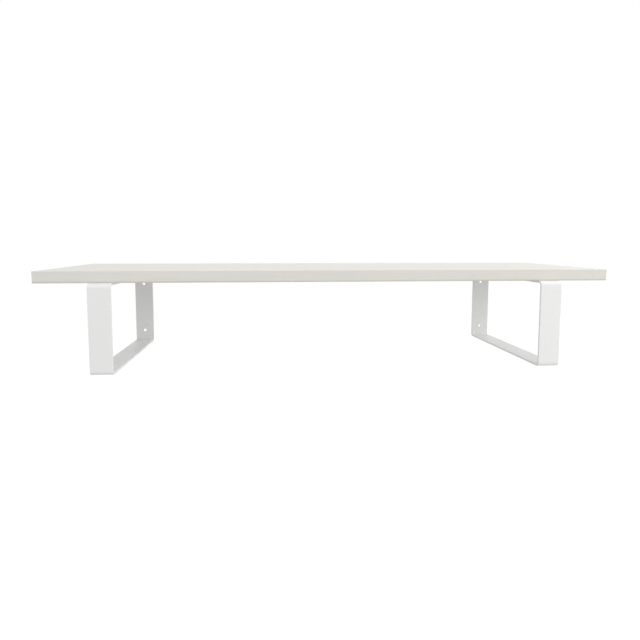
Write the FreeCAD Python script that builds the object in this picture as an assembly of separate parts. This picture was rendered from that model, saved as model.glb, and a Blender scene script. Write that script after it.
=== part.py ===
import FreeCAD, Part
import math
import os

# A wall shelf: a veneered board carried by two closed loops of bent flat steel bar.
#
# Frame, in millimetres: +X runs along the board, +Z is up, and the wall is the plane y = 0,
# with the shelf in front of it on the -Y side. The origin is the middle of the four wall
# holes, on the wall plane.

# ---- driving dimensions -------------------------------------------------------------------

# board
BOARD_LENGTH = 1000.0
BOARD_DEPTH = 300.0
BOARD_THICKNESS = 20.0
FACE_THICKNESS = 0.8          # veneer sheet on the top and on the underside
BAND_THICKNESS = 1.0          # edge band on all four edges
BAND_ARRIS = 0.8              # small round on the outer corners of the bands

# brackets
BAR_WIDTH = 38.0
BAR_THICKNESS = 4.0
BAR_ARRIS = 0.6               # rolled round on the long corners of the bar
BEND_INNER_RADIUS = 4.0
BRACKET_HEIGHT = 155.0
BRACKET_LEAD = 10.0           # how far the front leg stands out past the board's front edge
BRACKET_INSET = 90.0          # from the board's end to the bracket's outer side

# wall holes in the bracket's wall leg
WALL_HOLE_DIAMETER = 6.5
WALL_HOLE_EDGE = 25.0         # hole centre from the top and from the bottom of the bracket

# countersunk wood screws, driven up through the bracket's top arm into the board
SCREW_INSET = 50.0            # screw axis from the board's front edge and from the wall
SCREW_HEAD_DIAMETER = 8.8
SCREW_HEAD_RIM = 0.3          # height of the straight rim under the drive face
SCREW_SHANK_DIAMETER = 3.3
THREAD_CREST_DIAMETER = 4.5
THREAD_ROOT_DIAMETER = 2.9
THREAD_PITCH = 1.8
THREAD_FLANK = 0.45           # half the width of one ridge at its root
SCREW_POINT = 4.0             # length of the pointed tip
TIP_COVER = 5.0               # board left above the tip of a screw
DRIVE_SPAN = 4.6              # across the cross recess at the drive face
DRIVE_FLOOR_SPAN = 1.6        # across it at its floor
DRIVE_SLOT = 1.1
DRIVE_DEPTH = 2.0

# clearances
HEAD_SINK = 0.2               # drive face below the surface of the bar
SHANK_CLEARANCE = 0.85        # round the screw's shank in the bar

# ---- derived places -----------------------------------------------------------------------

bracket_depth = BOARD_DEPTH + BRACKET_LEAD
bend_outer_radius = BEND_INNER_RADIUS + BAR_THICKNESS

board_underside = BRACKET_HEIGHT / 2
board_top = board_underside + BOARD_THICKNESS
bracket_bottom = board_underside - BRACKET_HEIGHT
arm_underside = board_underside - BAR_THICKNESS

core_length = BOARD_LENGTH - 2 * BAND_THICKNESS
core_depth = BOARD_DEPTH - 2 * BAND_THICKNESS
core_thickness = BOARD_THICKNESS - 2 * FACE_THICKNESS

bracket_centre = BOARD_LENGTH / 2 - BRACKET_INSET - BAR_WIDTH / 2
wall_hole_heights = (board_underside - WALL_HOLE_EDGE, bracket_bottom + WALL_HOLE_EDGE)

head_radius = SCREW_HEAD_DIAMETER / 2
shank_radius = SCREW_SHANK_DIAMETER / 2
shank_hole_radius = shank_radius + SHANK_CLEARANCE
countersink_radius = head_radius + SCREW_HEAD_RIM + HEAD_SINK
screw_tip = BAR_THICKNESS + BOARD_THICKNESS - TIP_COVER

SIDES = {"left": -1, "right": 1}
ROWS = {"front": -BOARD_DEPTH + SCREW_INSET, "rear": -SCREW_INSET}

X_AXIS = FreeCAD.Vector(1, 0, 0)
Y_AXIS = FreeCAD.Vector(0, 1, 0)
Z_AXIS = FreeCAD.Vector(0, 0, 1)
ORIGIN = FreeCAD.Vector(0, 0, 0)


# ---- helpers ------------------------------------------------------------------------------

def block(x_range, y_range, z_range):
    """A box between the given pairs of coordinates."""
    corner = FreeCAD.Vector(x_range[0], y_range[0], z_range[0])
    size = (x_range[1] - x_range[0], y_range[1] - y_range[0], z_range[1] - z_range[0])
    return Part.makeBox(size[0], size[1], size[2], corner)


def edges_along(shape, axis):
    """The straight edges of a shape that run along an axis."""
    found = []
    for edge in shape.Edges:
        direction = edge.tangentAt(edge.FirstParameter)
        if abs(direction.dot(axis)) > 0.999 and len(edge.Vertexes) == 2:
            found.append(edge)
    return found


def side_contours(shape):
    """The edges that lie in the two flat side faces of a shape extruded along X."""
    return [edge for edge in shape.Edges if edge.BoundBox.XLength < 0.001]


# ---- board --------------------------------------------------------------------------------

def make_core():
    """The board's chipboard core, before the screws are driven."""
    z_low = board_underside + FACE_THICKNESS
    return block((-core_length / 2, core_length / 2),
                 (-BOARD_DEPTH + BAND_THICKNESS, -BAND_THICKNESS),
                 (z_low, z_low + core_thickness))


def make_face(z_low):
    """A veneer sheet as long and deep as the core, with its lower side at z_low."""
    return block((-core_length / 2, core_length / 2),
                 (-BOARD_DEPTH + BAND_THICKNESS, -BAND_THICKNESS),
                 (z_low, z_low + FACE_THICKNESS))


def round_outer_edges(band, wall_coordinate, axis, edge_axis):
    """Round the band's two long corners on the side that faces out of the board."""
    outer = []
    for edge in edges_along(band, edge_axis):
        if abs(edge.CenterOfMass.dot(axis) - wall_coordinate) < 0.001:
            outer.append(edge)
    return band.makeFillet(BAND_ARRIS, outer)


def make_long_band(y_outer):
    """The edge band along the front or the back, over the full length of the board."""
    inward = BAND_THICKNESS if y_outer < -BOARD_DEPTH / 2 else -BAND_THICKNESS
    y_range = sorted((y_outer, y_outer + inward))
    band = block((-BOARD_LENGTH / 2, BOARD_LENGTH / 2), y_range, (board_underside, board_top))
    return round_outer_edges(band, y_outer, Y_AXIS, X_AXIS)


def make_end_band(side):
    """The edge band across one end of the board, between the two long bands."""
    x_outer = side * BOARD_LENGTH / 2
    x_range = sorted((x_outer, x_outer - side * BAND_THICKNESS))
    y_range = (-BOARD_DEPTH + BAND_THICKNESS, -BAND_THICKNESS)
    band = block(x_range, y_range, (board_underside, board_top))
    return round_outer_edges(band, x_outer, X_AXIS, Y_AXIS)


# ---- brackets -----------------------------------------------------------------------------

def make_loop(x_centre):
    """Flat bar bent to a closed loop, with its weld ground flush."""
    x_range = (x_centre - BAR_WIDTH / 2, x_centre + BAR_WIDTH / 2)
    outer = block(x_range, (-bracket_depth, 0), (bracket_bottom, board_underside))
    inner = block(x_range,
                  (-bracket_depth + BAR_THICKNESS, -BAR_THICKNESS),
                  (bracket_bottom + BAR_THICKNESS, arm_underside))
    outer = outer.makeFillet(bend_outer_radius, edges_along(outer, X_AXIS))
    inner = inner.makeFillet(BEND_INNER_RADIUS, edges_along(inner, X_AXIS))
    loop = outer.cut(inner)
    return loop.makeFillet(BAR_ARRIS, side_contours(loop))


def make_wall_hole(x_centre, height):
    """A plain hole through the wall leg."""
    start = FreeCAD.Vector(x_centre, -BAR_THICKNESS, height)
    return Part.makeCylinder(WALL_HOLE_DIAMETER / 2, BAR_THICKNESS, start, Y_AXIS)


def make_screw_hole(x_centre, y_centre):
    """A countersunk hole up through the top arm."""
    start = FreeCAD.Vector(x_centre, y_centre, arm_underside)
    shaft = Part.makeCylinder(shank_hole_radius, BAR_THICKNESS, start, Z_AXIS)
    cone_height = countersink_radius - shank_hole_radius
    cone = Part.makeCone(countersink_radius, shank_hole_radius, cone_height, start, Z_AXIS)
    return shaft.fuse(cone)


def make_bracket(side):
    """One bracket, drilled for the wall and for the board."""
    x_centre = side * bracket_centre
    bracket = make_loop(x_centre)
    for height in wall_hole_heights:
        bracket = bracket.cut(make_wall_hole(x_centre, height))
    for y_centre in ROWS.values():
        bracket = bracket.cut(make_screw_hole(x_centre, y_centre))
    return bracket


# ---- screws -------------------------------------------------------------------------------

def screw_outline():
    """Radius and height along the screw, up from its drive face at the arm's underside."""
    rim_top = HEAD_SINK + SCREW_HEAD_RIM
    root = THREAD_ROOT_DIAMETER / 2
    crest = THREAD_CREST_DIAMETER / 2
    point_start = screw_tip - SCREW_POINT
    outline = [(0, HEAD_SINK), (head_radius, HEAD_SINK), (head_radius, rim_top)]
    outline.append((shank_radius, rim_top + head_radius - shank_radius))
    outline.append((shank_radius, BAR_THICKNESS))
    outline.append((root, BAR_THICKNESS))
    ridge_room = point_start - BAR_THICKNESS - THREAD_PITCH
    for index in range(math.floor(ridge_room / THREAD_PITCH) + 1):
        height = BAR_THICKNESS + THREAD_PITCH * (index + 0.5)
        outline.append((root, height - THREAD_FLANK))
        outline.append((crest, height))
        outline.append((root, height + THREAD_FLANK))
    outline.append((root, point_start))
    outline.append((0, screw_tip))
    return outline


def make_drive_recess():
    """The tapered cross recess, up from the drive face."""
    start = FreeCAD.Vector(0, 0, HEAD_SINK)
    taper = Part.makeCone(DRIVE_SPAN / 2, DRIVE_FLOOR_SPAN / 2, DRIVE_DEPTH, start, Z_AXIS)
    reach = (-DRIVE_SPAN / 2, DRIVE_SPAN / 2)
    slot = (-DRIVE_SLOT / 2, DRIVE_SLOT / 2)
    heights = (HEAD_SINK, HEAD_SINK + DRIVE_DEPTH)
    cross = block(reach, slot, heights).fuse(block(slot, reach, heights))
    return cross.common(taper)


def make_screw():
    """One screw, pointing up, with its axis on Z and the arm's underside at z = 0."""
    points = [FreeCAD.Vector(radius, 0, height) for radius, height in screw_outline()]
    face = Part.Face(Part.makePolygon(points + [points[0]]))
    return face.revolve(ORIGIN, Z_AXIS, 360).cut(make_drive_recess())


# ---- assembly -----------------------------------------------------------------------------

def make_nodes():
    """Every piece in its place, by node name."""
    nodes = {
        "board_core": make_core(),
        "board_top_face": make_face(board_top - FACE_THICKNESS),
        "board_bottom_face": make_face(board_underside),
        "board_front_edge_band": make_long_band(-BOARD_DEPTH),
        "board_back_edge_band": make_long_band(0),
    }
    for side_name, side in SIDES.items():
        nodes[f"board_{side_name}_edge_band"] = make_end_band(side)
        nodes[f"{side_name}_bracket"] = make_bracket(side)
        for row_name, y_centre in ROWS.items():
            screw = make_screw()
            screw.translate(FreeCAD.Vector(side * bracket_centre, y_centre, arm_underside))
            nodes[f"{side_name}_{row_name}_screw"] = screw
            # the screw cuts its own seat in the board
            for pierced in ("board_bottom_face", "board_core"):
                nodes[pierced] = nodes[pierced].cut(screw)
    return nodes


def single_solid(shape):
    """The one solid that a shape holds."""
    if len(shape.Solids) != 1:
        raise ValueError(f"expected one solid, found {len(shape.Solids)}")
    return shape.Solids[0]


os.makedirs("parts", exist_ok=True)
for name, shape in make_nodes().items():
    solid = single_solid(shape)
    if not solid.isValid():
        raise ValueError(f"{name} is not a valid solid")
    solid.exportStep(f"parts/{name}.step")
    print(name, round(solid.Volume, 1), "mm3")
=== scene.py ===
import math

import bpy
from bpy.props import FloatProperty, FloatVectorProperty, PointerProperty
from mathutils import Euler, Matrix, Vector


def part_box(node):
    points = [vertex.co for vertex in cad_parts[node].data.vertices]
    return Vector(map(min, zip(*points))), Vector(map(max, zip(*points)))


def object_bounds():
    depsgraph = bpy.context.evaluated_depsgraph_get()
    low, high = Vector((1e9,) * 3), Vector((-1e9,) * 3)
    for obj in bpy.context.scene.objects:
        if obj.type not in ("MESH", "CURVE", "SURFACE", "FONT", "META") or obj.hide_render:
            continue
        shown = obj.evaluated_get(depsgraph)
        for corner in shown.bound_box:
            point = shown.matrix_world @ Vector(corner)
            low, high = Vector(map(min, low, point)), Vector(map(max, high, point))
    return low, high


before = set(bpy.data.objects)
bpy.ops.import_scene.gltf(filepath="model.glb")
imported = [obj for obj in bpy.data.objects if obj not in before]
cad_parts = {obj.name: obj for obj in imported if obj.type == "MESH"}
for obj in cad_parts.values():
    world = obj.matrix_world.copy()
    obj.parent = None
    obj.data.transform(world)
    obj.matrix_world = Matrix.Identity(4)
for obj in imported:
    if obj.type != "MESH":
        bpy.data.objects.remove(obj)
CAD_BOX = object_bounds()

bl_info = {
    "name": "Wall shelf finishes",
    "version": (1, 0, 0),
    "blender": (4, 5, 0),
    "location": "3D View > Sidebar > Shelf",
    "description": "Veneer, powder coat, zinc and a studio for a wall shelf on two loop brackets",
    "category": "Object",
}

MILLIMETRE = 0.001
ALONG_X = 0
ALONG_Y = 1
SENSOR_WIDTH = 36.0     # millimetres, as Blender's cameras count it
NEAREST_SEEN = 0.01
FARTHEST_SEEN = 100.0
WOOD_IOR = 1.46
COAT_IOR = 1.5
CHIPBOARD_IOR = 1.45
# painted shade: how far up a band's outer side the lower edge's painted shade reaches
PAINTED_SHADE_REACH = 0.17      # share of a band's height, from below
GLOW_FALL = -1.5        # how fast the lamps' light on the floor falls off from its middle

# where each soft box stands and how wide it is
LAMPS = {
    "overhead lamp": ((0.0, 0.7, 2.2), 2.2, "over_power"),
    "high lamp": ((1.6, -0.8, 1.8), 1.8, "high_power"),
    "front lamp": ((0.2, -2.8, 1.5), 2.2, "front_power"),
    "right lamp": ((2.4, -1.4, 0.6), 1.8, "right_power"),
    "rear lamp": ((2.2, 1.0, 0.7), 1.8, "rear_power"),
}
LIT_SPOT = (0.6, -0.8)  # where the lamps together light the floor most

FACE_NODES = ("board_top_face", "board_bottom_face")
LONG_BAND_NODES = ("board_front_edge_band", "board_back_edge_band")
END_BAND_NODES = ("board_left_edge_band", "board_right_edge_band")
CORE_NODES = ("board_core",)
BRACKET_NODES = ("left_bracket", "right_bracket")
SCREW_NODES = tuple(sorted(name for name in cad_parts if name.endswith("_screw")))


# ---- shader helpers -----------------------------------------------------------------------

class Shader:
    """A short way to write a node material: each call adds one node and returns its output."""

    def __init__(self, name):
        self.material = bpy.data.materials.new(name)
        self.material.use_nodes = True
        self.tree = self.material.node_tree
        self.tree.nodes.clear()
        self.output = self.tree.nodes.new("ShaderNodeOutputMaterial")

    def put(self, socket, value):
        """Link an output into a socket, or set the socket's own value."""
        if isinstance(value, bpy.types.NodeSocket):
            self.tree.links.new(value, socket)
        else:
            socket.default_value = value

    def node(self, kind, settings=None, inputs=None):
        """Add a node, set its settings and fill its inputs, named or numbered."""
        made = self.tree.nodes.new(kind)
        for key, value in (settings or {}).items():
            setattr(made, key, value)
        for key, value in (inputs or {}).items():
            self.put(made.inputs[key], value)
        return made

    def coordinates(self, scale, rotation=(0, 0, 0)):
        """The object's own coordinates in metres, stretched by a scale."""
        source = self.node("ShaderNodeTexCoord").outputs["Object"]
        inputs = {"Vector": source, "Scale": scale, "Rotation": rotation}
        return self.node("ShaderNodeMapping", inputs=inputs).outputs[0]

    def noise(self, vector, scale=1.0, detail=3.0, roughness=0.5, distortion=0.0):
        """Soft noise from 0 to 1."""
        inputs = {"Vector": vector, "Scale": scale, "Detail": detail,
                  "Roughness": roughness, "Distortion": distortion}
        return self.node("ShaderNodeTexNoise", inputs=inputs).outputs["Fac"]

    def cells(self, vector, scale=1.0, randomness=1.0):
        """A cell pattern: the distance to the nearest cell, and the cell's own colour."""
        inputs = {"Vector": vector, "Scale": scale, "Randomness": randomness}
        made = self.node("ShaderNodeTexVoronoi", inputs=inputs)
        return made.outputs["Distance"], made.outputs["Color"]

    def span(self, value, low, high, to_low=0.0, to_high=1.0):
        """Map a value from one range to another, held at both ends."""
        inputs = {"Value": value, "From Min": low, "From Max": high,
                  "To Min": to_low, "To Max": to_high}
        return self.node("ShaderNodeMapRange", {"clamp": True}, inputs).outputs[0]

    def maths(self, operation, first, second=0.0):
        """One arithmetic step."""
        return self.node("ShaderNodeMath", {"operation": operation}, {0: first, 1: second}).outputs[0]

    def mix(self, factor, first, second, blend="MIX"):
        """Mix two colours."""
        made = self.node("ShaderNodeMix", {"data_type": "RGBA", "blend_type": blend})
        for key, value in ((0, factor), (6, first), (7, second)):
            self.put(made.inputs[key], value)
        return made.outputs[2]

    def bump(self, height, depth, strength, normal=None):
        """Raise the surface by a height from 0 to 1, times a depth in metres."""
        inputs = {"Height": height, "Distance": depth, "Strength": strength}
        if normal is not None:
            inputs["Normal"] = normal
        return self.node("ShaderNodeBump", inputs=inputs).outputs[0]

    def corner(self, radius):
        """1 on the flats, falling towards 0 within a radius of a sharp corner."""
        rounded = self.node("ShaderNodeBevel", {"samples": 6}, {"Radius": radius}).outputs[0]
        flat = self.node("ShaderNodeNewGeometry").outputs["Normal"]
        made = self.node("ShaderNodeVectorMath", {"operation": "DOT_PRODUCT"})
        self.put(made.inputs[0], rounded)
        self.put(made.inputs[1], flat)
        return made.outputs["Value"]

    def finish(self, **inputs):
        """Close the material with a principled shader."""
        named = {key.replace("_", " "): value for key, value in inputs.items()}
        surface = self.node("ShaderNodeBsdfPrincipled", inputs=named).outputs[0]
        self.put(self.output.inputs["Surface"], surface)
        return self.material


def rgba(colour):
    """A colour property as four numbers."""
    return (colour[0], colour[1], colour[2], 1.0)


def dress(node_names, material):
    """Give carried-over CAD nodes a material."""
    for name in node_names:
        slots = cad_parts[name].data.materials
        slots.clear()
        slots.append(material)


# ---- materials ----------------------------------------------------------------------------

def whitewashed_wood(name, settings, along, joint_box=None):
    """Matt whitewashed wood with its grain along one axis, ALONG_X or ALONG_Y.

    joint_box gives the sheet's lowest and highest corner where its rim meets the edge bands.
    """
    shader = Shader(name)

    def stretched(length, width):
        """Coordinates in which a figure is so many metres long and wide."""
        scale = [1 / width] * 3
        scale[along] = 1 / length
        return shader.coordinates(scale)

    # broad figure: long lazy streaks of thicker and thinner wash
    streaks = shader.noise(stretched(0.62, settings.figure_width),
                           detail=5.0, roughness=0.58, distortion=0.5)
    bands = shader.noise(stretched(0.35, settings.figure_width / 4),
                         detail=4.0, roughness=0.6, distortion=0.3)
    figure = shader.maths("MULTIPLY", shader.span(streaks, 0.36, 0.64), 0.6)
    fine_figure = shader.maths("MULTIPLY", shader.span(bands, 0.35, 0.65), 0.4)
    figure = shader.maths("ADD", figure, fine_figure)

    # fibres and pores: short thin lines where the wash has sunk in
    fibres = shader.noise(stretched(0.05, 0.0011), detail=3.0, roughness=0.65)
    pores = shader.noise(stretched(0.016, 0.0005), detail=1.0, roughness=0.5)
    open_pores = shader.span(pores, 0.66, 0.78)

    base = shader.mix(shader.maths("MULTIPLY", figure, settings.figure_strength),
                      rgba(settings.wash_colour), rgba(settings.wood_colour))
    fibre_tone = shader.span(fibres, 0.3, 0.7, 0.0, settings.fibre_strength)
    base = shader.mix(fibre_tone, base, rgba(settings.wood_colour))
    base = shader.mix(shader.maths("MULTIPLY", open_pores, settings.pore_strength),
                      base, rgba(settings.pore_and_shade_colour))

    # slow drift between a warmer and a cooler white from place to place
    drift = shader.span(shader.noise(stretched(0.055, 0.09), detail=2.0), 0.38, 0.62)
    tint = shader.mix(drift, rgba(settings.warm_tint), rgba(settings.cool_tint))
    base = shader.mix(1.0, base, tint, "MULTIPLY")

    # handled corners: the wash is rubbed thin
    rub = shader.span(shader.corner(1.2 * MILLIMETRE), 0.72, 0.99, 1.0, 0.0)
    patchy = shader.span(shader.noise(stretched(0.04, 0.01)), 0.35, 0.65, 0.35, 1.0)
    worn = shader.maths("MULTIPLY", shader.maths("MULTIPLY", rub, patchy), settings.rub_strength)
    base = shader.mix(worn, base, rgba(settings.wood_colour))

    # painted shade: the lowest few millimetres of the bands' outer side are darkened as if in shadow
    base = shader.mix(painted_lower_edge_shade(shader, settings.lower_edge_shade_strength), base, rgba(settings.pore_and_shade_colour))

    if joint_box is not None:
        joint = glue_line(shader, joint_box, settings.joint_width)
        base = shader.mix(joint, base, rgba(settings.pore_and_shade_colour))

    roughness = shader.span(fibres, 0.3, 0.7,
                            settings.roughness - 0.05, settings.roughness + 0.06)
    normal = shader.bump(figure, 0.06 * MILLIMETRE, 0.35)
    normal = shader.bump(fibres, settings.fibre_depth, 0.5, normal)
    normal = shader.bump(shader.maths("SUBTRACT", 1.0, open_pores), settings.pore_depth, 0.6, normal)
    return shader.finish(Base_Color=base, Roughness=roughness, Normal=normal, IOR=WOOD_IOR)


def painted_lower_edge_shade(shader, strength):
    """How much painted shade darkens the lowest few millimetres of an edge band's outer side.

    The flat underside of a sheet is left out.
    """
    box = shader.node("ShaderNodeTexCoord").outputs["Generated"]
    height = shader.node("ShaderNodeSeparateXYZ", inputs={0: box}).outputs[2]
    low = shader.span(height, 0.0, PAINTED_SHADE_REACH, 1.0, 0.0)
    normal = shader.node("ShaderNodeNewGeometry").outputs["True Normal"]
    facing = shader.node("ShaderNodeSeparateXYZ", inputs={0: normal}).outputs[2]
    flat_underside = shader.span(facing, -0.85, -0.98)
    on_side = shader.maths("MAXIMUM", shader.maths("SUBTRACT", low, flat_underside), 0.0)
    clouds = shader.noise(shader.coordinates((14, 14, 14)), detail=3.0)
    patchy = shader.span(clouds, 0.35, 0.65, 0.7, 1.0)
    return shader.maths("MULTIPLY", shader.maths("MULTIPLY", on_side, patchy), strength)


def glue_line(shader, joint_box, width):
    """The hairline at the rim of a sheet, where it meets the edge bands."""
    low, high = joint_box
    centre = (low + high) / 2
    half = (high - low) / 2
    source = shader.node("ShaderNodeTexCoord").outputs["Object"]
    split = shader.node("ShaderNodeSeparateXYZ", inputs={0: source})
    reach = None
    for axis in (0, 1):
        from_centre = shader.maths("SUBTRACT", split.outputs[axis], centre[axis])
        offset = shader.maths("ABSOLUTE", from_centre)
        from_rim = shader.maths("SUBTRACT", half[axis], offset)
        reach = from_rim if reach is None else shader.maths("MINIMUM", reach, from_rim)
    return shader.span(reach, 0.0, width, 0.55, 0.0)


def powder_coat(name, settings):
    """Satin white powder coat: a fine orange peel, thinner on the corners."""
    shader = Shader(name)
    place = shader.coordinates((1, 1, 1))
    peel = shader.noise(place, 1 / settings.peel_size, detail=2.0, roughness=0.45)
    flow = shader.noise(place, 0.2 / settings.peel_size, detail=2.0)
    cloud = shader.noise(place, 9.0, detail=3.0)
    specks = shader.noise(place, 2600.0, detail=0.0)

    thin = shader.span(shader.corner(1.0 * MILLIMETRE), 0.7, 0.98, 1.0, 0.0)
    tone = shader.mix(shader.span(cloud, 0.3, 0.7, 0.0, 0.5),
                      rgba(settings.coat_colour), rgba(settings.shade_colour))
    tone = shader.mix(shader.span(specks, 0.7, 0.8, 0.0, 0.3), tone, rgba(settings.shade_colour))
    tone = shader.mix(shader.maths("MULTIPLY", thin, settings.thin_strength),
                      tone, rgba(settings.steel_colour))

    roughness = shader.span(flow, 0.3, 0.7,
                            settings.coat_roughness - 0.04, settings.coat_roughness + 0.05)
    normal = shader.bump(flow, 3 * settings.peel_depth, 0.3)
    normal = shader.bump(peel, settings.peel_depth, 0.8, normal)
    return shader.finish(Base_Color=tone, Roughness=roughness, Normal=normal, IOR=COAT_IOR)


def bright_zinc(name, settings):
    """Bright zinc plating with a faint blue and yellow drift and fine tumbling marks."""
    shader = Shader(name)
    place = shader.coordinates((1, 1, 1))
    drift = shader.span(shader.noise(place, 260.0, detail=2.0), 0.35, 0.65)
    marks = shader.noise(shader.coordinates((1, 1, 0.2)), 2400.0, detail=3.0, roughness=0.6)
    tone = shader.mix(drift, rgba(settings.zinc_colour), rgba(settings.zinc_tint))
    worn = shader.span(shader.corner(0.25 * MILLIMETRE), 0.6, 0.98, 0.5, 0.0)
    tone = shader.mix(worn, tone, rgba(settings.bright_colour))
    roughness = shader.span(marks, 0.3, 0.7,
                            settings.zinc_roughness - 0.08, settings.zinc_roughness + 0.1)
    normal = shader.bump(marks, 0.008 * MILLIMETRE, 0.5)
    return shader.finish(Base_Color=tone, Metallic=1.0, Roughness=roughness, Normal=normal)


def pressed_chips(name, settings):
    """Chipboard: flat chips of many browns, laid lengthwise and pressed together."""
    shader = Shader(name)
    place = shader.coordinates((90, 160, 700))
    edge, own = shader.cells(place)
    tone = shader.node("ShaderNodeSeparateColor", inputs={0: own}).outputs[0]
    grain = shader.noise(shader.coordinates((60, 400, 1200)), detail=3.0)
    base = shader.mix(tone, rgba(settings.chip_colour), rgba(settings.dark_chip_colour))
    base = shader.mix(shader.span(grain, 0.4, 0.7, 0.0, 0.4),
                      base, rgba(settings.dark_chip_colour))
    normal = shader.bump(edge, 0.3 * MILLIMETRE, 0.6)
    roughness = shader.span(grain, 0.3, 0.7, 0.75, 0.9)
    return shader.finish(Base_Color=base, Roughness=roughness, Normal=normal, IOR=CHIPBOARD_IOR)


# ---- settings -----------------------------------------------------------------------------

def colour_property(name, description, default):
    """A colour that the panel shows."""
    return FloatVectorProperty(name=name, description=description, subtype="COLOR",
                               size=3, min=0.0, max=1.0, default=default)


def length_property(name, description, default):
    """A length in metres that the panel shows in the scene's unit."""
    return FloatProperty(name=name, description=description, unit="LENGTH", precision=5,
                         min=0.0, default=default)


def share_property(name, description, default):
    """A share from 0 to 1."""
    return FloatProperty(name=name, description=description, subtype="FACTOR",
                         min=0.0, max=1.0, default=default)


def power_property(name, description, default):
    """A lamp's power in watts."""
    return FloatProperty(name=name, description=description, unit="POWER", default=default)


class ShelfBoardSettings(bpy.types.PropertyGroup):
    """The whitewashed veneer and edge bands, and the chipboard under them."""

    wash_colour: colour_property("Wash", "Where the white wash lies thickest", (0.785, 0.77, 0.738))
    wood_colour: colour_property("Wood", "Where the wood shows through", (0.71, 0.69, 0.64))
    # this pore colour is also the colour of the painted shade on the bands' lowest edge
    pore_and_shade_colour: colour_property("Pores", "Open pores and the glue line", (0.52, 0.48, 0.41))
    warm_tint: colour_property("Warm drift", "Tint of the warmer places", (1.0, 0.992, 0.972))
    cool_tint: colour_property("Cool drift", "Tint of the cooler places", (0.985, 0.99, 0.99))
    figure_width: length_property("Figure width", "Width of the broad streaks", 0.028)
    figure_strength: share_property("Figure", "How strongly the streaks show", 0.65)
    fibre_strength: share_property("Fibres", "How strongly the fibres show", 0.45)
    pore_strength: share_property("Pore tone", "How dark the pores are", 0.5)
    rub_strength: share_property("Rubbed corners", "How far the wash is rubbed off", 0.4)
    # painted shade: how strongly the bands' lowest edge is darkened as if in shadow
    lower_edge_shade_strength: share_property("Lower edge", "How far the bands' lowest edge has darkened", 1.0)
    fibre_depth: length_property("Fibre depth", "Relief of the fibres", 0.04 * MILLIMETRE)
    pore_depth: length_property("Pore depth", "Depth of the pores", 0.08 * MILLIMETRE)
    joint_width: length_property("Joint", "Width of the glue line at the bands", 0.18 * MILLIMETRE)
    roughness: share_property("Roughness", "How matt the finish is", 0.56)
    chip_colour: colour_property("Chips", "Light chips of the core", (0.60, 0.45, 0.28))
    dark_chip_colour: colour_property("Dark chips", "Dark chips of the core", (0.36, 0.24, 0.13))


class ShelfBracketSettings(bpy.types.PropertyGroup):
    """The powder coat on the brackets and the zinc on their screws."""

    coat_colour: colour_property("Coat", "The powder coat", (0.87, 0.87, 0.865))
    shade_colour: colour_property("Shade", "The coat's slightly thinner places", (0.84, 0.84, 0.835))
    steel_colour: colour_property("Corner", "What the thin coat on the corners lets through",
                                  (0.72, 0.72, 0.715))
    thin_strength: share_property("Thin corners", "How far the coat thins on the corners", 0.25)
    coat_roughness: share_property("Coat roughness", "How matt the coat is", 0.4)
    peel_size: length_property("Peel size", "Width of one dimple of the orange peel", 1.6 * MILLIMETRE)
    peel_depth: length_property("Peel depth", "Depth of the orange peel", 0.045 * MILLIMETRE)
    zinc_colour: colour_property("Zinc", "The screws' plating", (0.58, 0.59, 0.61))
    zinc_tint: colour_property("Zinc drift", "The plating's warmer places", (0.60, 0.585, 0.52))
    bright_colour: colour_property("Bright zinc", "The plating rubbed bright", (0.74, 0.75, 0.76))
    zinc_roughness: share_property("Zinc roughness", "How dull the plating is", 0.32)


class ShelfStageSettings(bpy.types.PropertyGroup):
    """The floor, the lamps and the camera."""

    floor_drop: length_property("Mounting height", "From the floor to the wall holes", 1.2)
    floor_size: length_property("Floor size", "Side of the square floor", 14.0)
    floor_colour: colour_property("Floor", "The pale floor", (0.7, 0.7, 0.7))
    floor_glow: share_property("Floor glow", "The floor's glow for the eye, far from the lamps", 0.607)
    floor_dip: share_property("Glow dip", "How much less it glows where the lamps light it most", 0.33)
    lamp_reach: length_property("Lamp reach", "How far the lamps light the floor", 2.6)
    lens: FloatProperty(name="Lens", description="Focal length on a 36 mm sensor",
                        unit="CAMERA", default=28.79)
    distance: length_property("Distance", "From the camera to the wall plane", 1.1783)
    sideways: FloatProperty(name="Sideways", description="From the shelf's middle to the camera",
                            unit="LENGTH", default=-0.110)
    height: FloatProperty(name="Height", description="From the wall holes up to the camera",
                          unit="LENGTH", default=0.1461)
    turn: FloatProperty(name="Turn", description="Camera turned to the right",
                        unit="ROTATION", default=0.0889)
    tilt: FloatProperty(name="Tilt", description="Camera tilted down",
                        unit="ROTATION", default=0.0873)
    roll: FloatProperty(name="Roll", description="Camera rolled",
                        unit="ROTATION", default=0.0013)
    shift_across: FloatProperty(name="Shift across", description="Lens shift, in sensor widths",
                                default=0.0078)
    shift_up: FloatProperty(name="Shift up", description="Lens shift, in sensor widths",
                            default=-0.0518)
    surround: FloatProperty(name="Surround", description="Light from the white surroundings",
                            default=0.62)
    over_power: power_property("Overhead lamp", "Soft box overhead, behind the wall plane", 10.0)
    high_power: power_property("High lamp", "Soft box high on the right", 9.0)
    front_power: power_property("Front lamp", "Soft box in front", 24.5)
    right_power: power_property("Right lamp", "Soft box on the right", 13.0)
    rear_power: power_property("Rear lamp", "Soft box behind on the right", 8.0)


# ---- operators ----------------------------------------------------------------------------

class SHELF_OT_faces(bpy.types.Operator):
    """Lay whitewashed veneer on the board's top and underside"""

    bl_idname = "shelf.faces"
    bl_label = "Veneer faces"

    def execute(self, context):
        settings = context.scene.shelf_board
        joint_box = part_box(FACE_NODES[0])
        dress(FACE_NODES, whitewashed_wood("Whitewashed veneer", settings, ALONG_X, joint_box))
        return {"FINISHED"}


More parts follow.
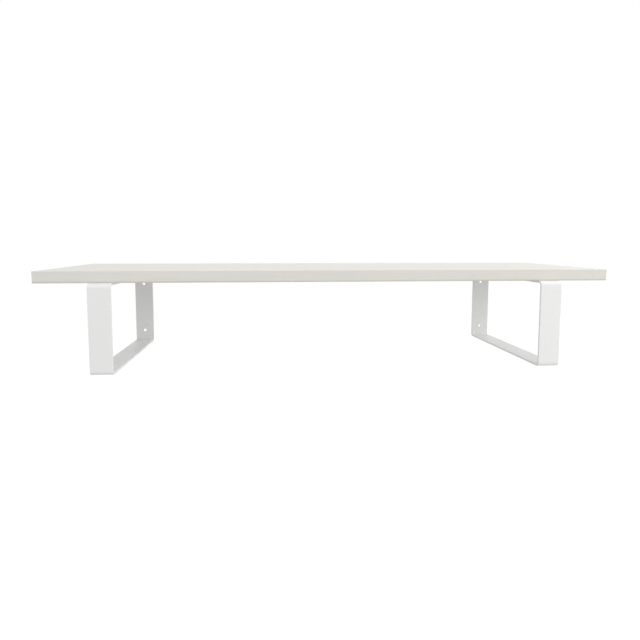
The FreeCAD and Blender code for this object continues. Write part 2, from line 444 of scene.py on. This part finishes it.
class SHELF_OT_bands(bpy.types.Operator):
    """Band the board's four edges, with the grain along each band"""

    bl_idname = "shelf.bands"
    bl_label = "Edge bands"

    def execute(self, context):
        settings = context.scene.shelf_board
        dress(LONG_BAND_NODES, whitewashed_wood("Whitewashed long band", settings, ALONG_X))
        dress(END_BAND_NODES, whitewashed_wood("Whitewashed end band", settings, ALONG_Y))
        return {"FINISHED"}


class SHELF_OT_core(bpy.types.Operator):
    """Give the board's core its pressed chips"""

    bl_idname = "shelf.core"
    bl_label = "Chipboard core"

    def execute(self, context):
        dress(CORE_NODES, pressed_chips("Chipboard", context.scene.shelf_board))
        return {"FINISHED"}


class SHELF_OT_brackets(bpy.types.Operator):
    """Coat both loop brackets in satin white powder"""

    bl_idname = "shelf.brackets"
    bl_label = "Loop brackets"

    def execute(self, context):
        dress(BRACKET_NODES, powder_coat("White powder coat", context.scene.shelf_bracket))
        return {"FINISHED"}


class SHELF_OT_screws(bpy.types.Operator):
    """Plate the four countersunk screws in bright zinc"""

    bl_idname = "shelf.screws"
    bl_label = "Screws"

    def execute(self, context):
        dress(SCREW_NODES, bright_zinc("Bright zinc", context.scene.shelf_bracket))
        return {"FINISHED"}


def white_to_the_eye(tree):
    """1 for rays from the camera, a mirror or glass, so that those see the white surroundings."""
    path = tree.nodes.new("ShaderNodeLightPath")
    seen = path.outputs["Is Camera Ray"]
    for name in ("Is Glossy Ray", "Is Transmission Ray"):
        either = tree.nodes.new("ShaderNodeMath")
        either.operation = "MAXIMUM"
        tree.links.new(seen, either.inputs[0])
        tree.links.new(path.outputs[name], either.inputs[1])
        seen = either.outputs[0]
    return seen


def make_world(settings):
    """White surroundings: plain white to the eye, and an even soft light on the object."""
    world = bpy.data.worlds.new("White surroundings")
    bpy.context.scene.world = world
    world.use_nodes = True
    tree = world.node_tree
    tree.nodes.clear()
    output = tree.nodes.new("ShaderNodeOutputWorld")
    background = tree.nodes.new("ShaderNodeBackground")
    background.inputs["Color"].default_value = (1.0, 1.0, 1.0, 1.0)
    strength = tree.nodes.new("ShaderNodeMix")
    strength.inputs["A"].default_value = settings.surround
    strength.inputs["B"].default_value = 1.0
    tree.links.new(white_to_the_eye(tree), strength.inputs["Factor"])
    tree.links.new(strength.outputs["Result"], background.inputs["Strength"])
    tree.links.new(background.outputs[0], output.inputs["Surface"])


def make_floor(settings):
    """A pale floor under the shelf.

    Its own glow is only for the eye, and dips where the lamps light it most, so that the two add
    up to white and the shelf's shadow still shows.
    """
    shader = Shader("Pale floor")
    tree = shader.tree
    tone = shader.noise(shader.coordinates((1, 1, 1)), 3.0)
    darker = [0.98 * share for share in settings.floor_colour]
    colour = shader.mix(tone, rgba(settings.floor_colour), rgba(darker))
    matt = shader.node("ShaderNodeBsdfDiffuse", inputs={"Color": colour})
    lit_spot = (*LIT_SPOT, -settings.floor_drop)
    place = shader.node("ShaderNodeTexCoord").outputs["Object"]
    measure = shader.node("ShaderNodeVectorMath", {"operation": "DISTANCE"}, {0: place, 1: lit_spot})
    away = measure.outputs["Value"]
    spread = shader.maths("POWER", shader.maths("DIVIDE", away, settings.lamp_reach), 2.0)
    light = shader.maths("POWER", shader.maths("ADD", 1.0, spread), GLOW_FALL)
    dip = shader.maths("MULTIPLY", light, settings.floor_dip)
    strength = shader.maths("SUBTRACT", settings.floor_glow, dip)
    glow = shader.node("ShaderNodeEmission", inputs={"Strength": strength})
    clear = shader.node("ShaderNodeEmission", inputs={"Strength": 0.0})
    seen = shader.node("ShaderNodeMixShader")
    tree.links.new(white_to_the_eye(tree), seen.inputs[0])
    tree.links.new(clear.outputs[0], seen.inputs[1])
    tree.links.new(glow.outputs[0], seen.inputs[2])
    both = shader.node("ShaderNodeAddShader")
    tree.links.new(matt.outputs[0], both.inputs[0])
    tree.links.new(seen.outputs[0], both.inputs[1])
    tree.links.new(both.outputs[0], shader.output.inputs["Surface"])

    half = settings.floor_size / 2
    drop = -settings.floor_drop
    corners = [(-half, -half, drop), (half, -half, drop), (half, half, drop), (-half, half, drop)]
    mesh = bpy.data.meshes.new("floor")
    mesh.from_pydata(corners, [], [(0, 1, 2, 3)])
    mesh.materials.append(shader.material)
    floor = bpy.data.objects.new("floor", mesh)
    bpy.context.scene.collection.objects.link(floor)


def make_lamp(name, place, target, size, power):
    """A square soft box at a place, facing a target."""
    data = bpy.data.lights.new(name, "AREA")
    data.shape = "SQUARE"
    data.size = size
    data.energy = power
    lamp = bpy.data.objects.new(name, data)
    lamp.location = place
    lamp.rotation_euler = (Vector(target) - Vector(place)).to_track_quat("-Z", "Y").to_euler()
    bpy.context.scene.collection.objects.link(lamp)


def make_camera(settings):
    """The camera, low in front of the shelf and a little to the left of its middle."""
    data = bpy.data.cameras.new("camera")
    data.sensor_width = SENSOR_WIDTH
    data.lens = settings.lens
    data.shift_x = settings.shift_across
    data.shift_y = settings.shift_up
    data.clip_start = NEAREST_SEEN
    data.clip_end = FARTHEST_SEEN
    camera = bpy.data.objects.new("camera", data)
    level = Euler((math.pi / 2, 0, 0)).to_matrix()
    turned = Matrix.Rotation(-settings.turn, 3, "Z")
    tilted = Matrix.Rotation(-settings.tilt, 3, "X")
    rolled = Matrix.Rotation(settings.roll, 3, "Z")
    facing = (turned @ tilted @ level @ rolled).to_4x4()
    place = Matrix.Translation((settings.sideways, -settings.distance, settings.height))
    camera.matrix_world = place @ facing
    bpy.context.scene.collection.objects.link(camera)
    bpy.context.scene.camera = camera


class SHELF_OT_stage(bpy.types.Operator):
    """Set up the pale floor, the soft lamps and the camera"""

    bl_idname = "shelf.stage"
    bl_label = "Stage"

    def execute(self, context):
        settings = context.scene.shelf_stage
        target = (CAD_BOX[0] + CAD_BOX[1]) / 2
        make_world(settings)
        make_floor(settings)
        for name, (place, size, power) in LAMPS.items():
            make_lamp(name, place, target, size, getattr(settings, power))
        make_camera(settings)
        context.scene.view_settings.view_transform = "Standard"
        return {"FINISHED"}


class SHELF_PT_panel(bpy.types.Panel):
    """The shelf's settings and steps"""

    bl_idname = "SHELF_PT_panel"
    bl_label = "Wall shelf"
    bl_space_type = "VIEW_3D"
    bl_region_type = "UI"
    bl_category = "Shelf"

    def draw(self, context):
        for owner, operators in PANEL_ROWS:
            box = self.layout.box()
            settings = getattr(context.scene, owner)
            for key in settings.bl_rna.properties.keys():
                if key not in ("rna_type", "name"):
                    box.prop(settings, key)
            for operator in operators:
                box.operator(operator.bl_idname)


BOARD_OPERATORS = (SHELF_OT_faces, SHELF_OT_bands, SHELF_OT_core)
BRACKET_OPERATORS = (SHELF_OT_brackets, SHELF_OT_screws)
STAGE_OPERATORS = (SHELF_OT_stage,)
PANEL_ROWS = (("shelf_board", BOARD_OPERATORS), ("shelf_bracket", BRACKET_OPERATORS),
              ("shelf_stage", STAGE_OPERATORS))
SETTINGS = {"shelf_board": ShelfBoardSettings, "shelf_bracket": ShelfBracketSettings,
            "shelf_stage": ShelfStageSettings}
CLASSES = (*SETTINGS.values(), *BOARD_OPERATORS, *BRACKET_OPERATORS, *STAGE_OPERATORS,
           SHELF_PT_panel)


def register():
    """Register every class and hang the settings on the scene."""
    for made in CLASSES:
        bpy.utils.register_class(made)
    for owner, group in SETTINGS.items():
        setattr(bpy.types.Scene, owner, PointerProperty(type=group))


def unregister():
    """Undo register."""
    for owner in SETTINGS:
        delattr(bpy.types.Scene, owner)
    for made in reversed(CLASSES):
        bpy.utils.unregister_class(made)


def main():
    """Build everything in order."""
    register()
    bpy.ops.shelf.core()
    bpy.ops.shelf.faces()
    bpy.ops.shelf.bands()
    bpy.ops.shelf.brackets()
    bpy.ops.shelf.screws()
    bpy.ops.shelf.stage()


if __name__ == "__main__":
    main()
